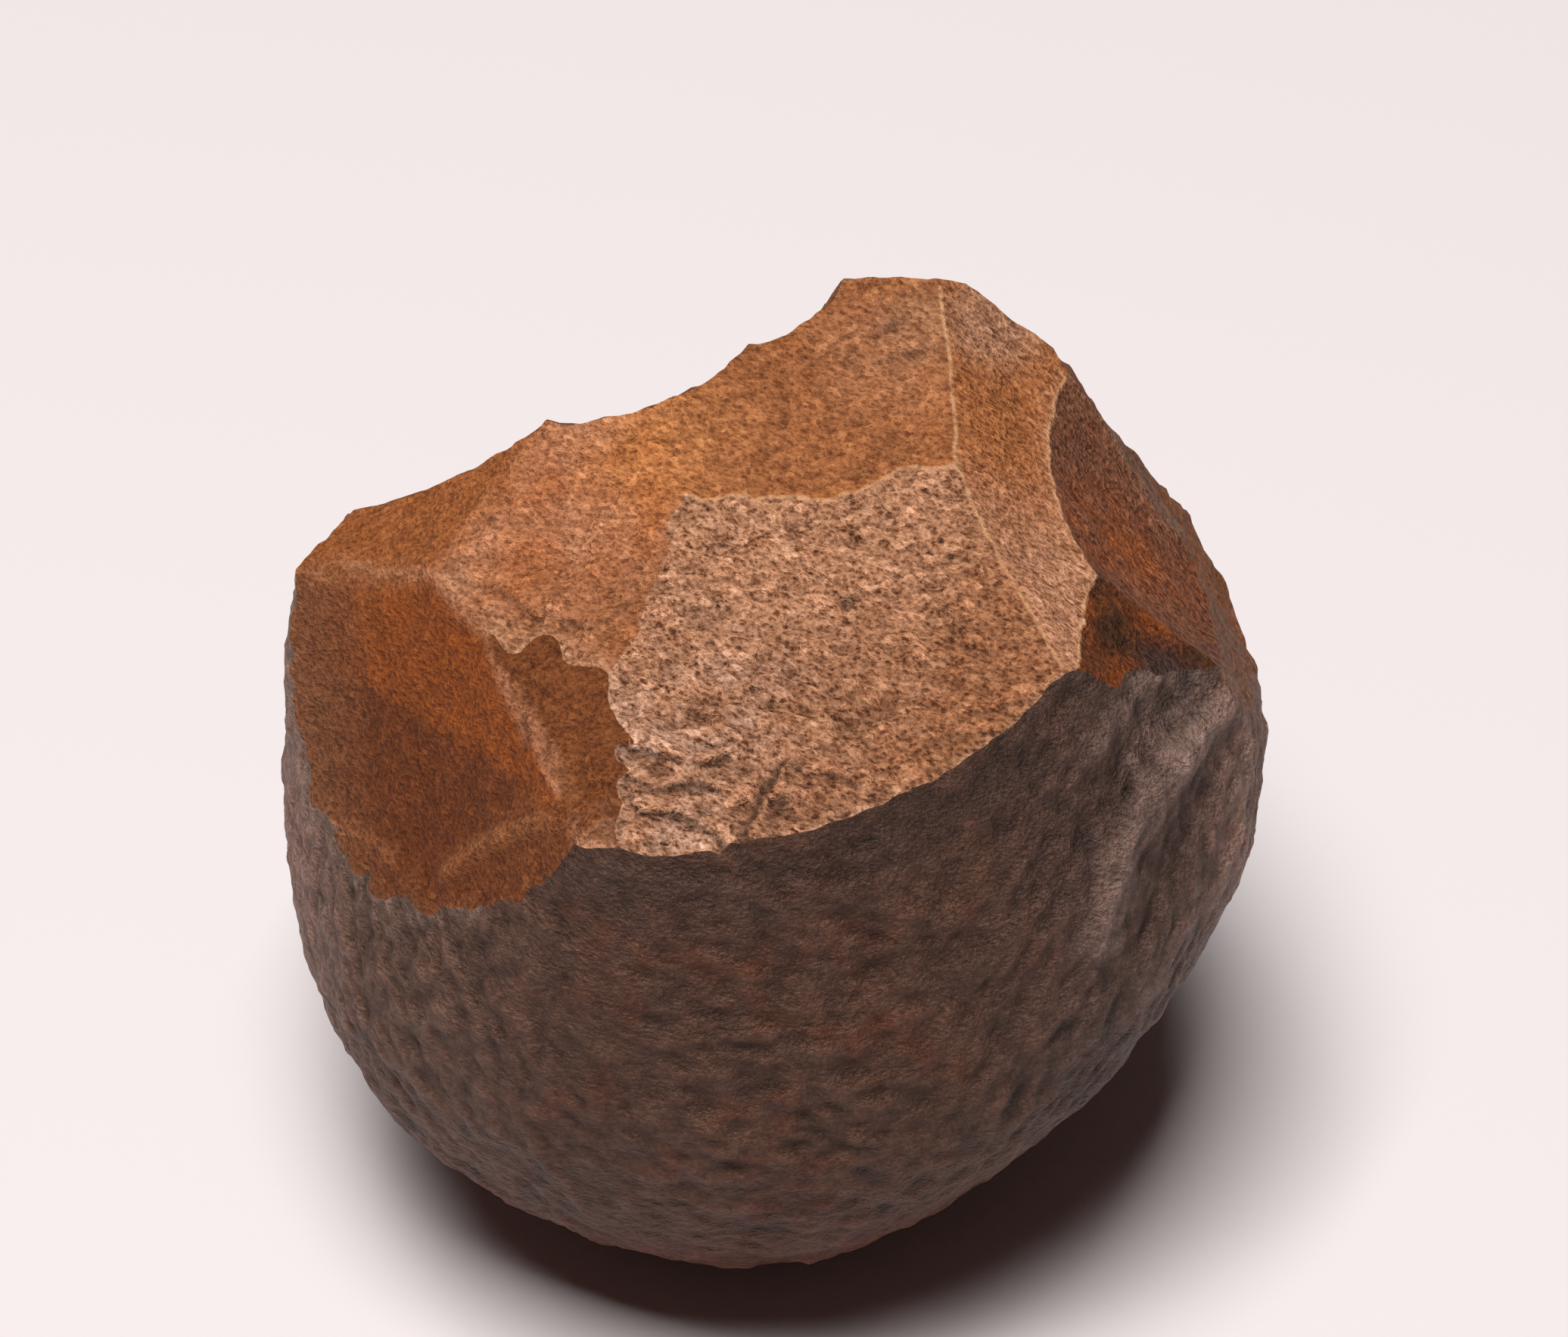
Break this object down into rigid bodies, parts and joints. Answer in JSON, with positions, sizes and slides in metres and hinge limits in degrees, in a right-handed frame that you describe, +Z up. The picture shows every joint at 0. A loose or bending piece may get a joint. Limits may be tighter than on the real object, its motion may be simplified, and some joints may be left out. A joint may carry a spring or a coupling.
{
  "type": "cobble chopping tool",
  "caption": "Stone chopping tool: a rounded river cobble with a dark worn underside, its top struck off in ochre and tan flake scars that meet the back in a sharp scalloped edge.",
  "frame": {"origin": "centre of the bounding box at its base, on the small flat the stone stands on", "axes": "+X along the working edge, towards its right end as seen from the front; +Y from the worn front towards the working edge at the back; +Z up"},
  "size_m": [0.0888, 0.0798, 0.0853],
  "materials": {
    "weathered_quartzite": "rough, slightly varnished on the worn skin"
  },
  "bodies": {
    "root": {"chopping_tool": "weathered_quartzite"}
  },
  "joints": []
}
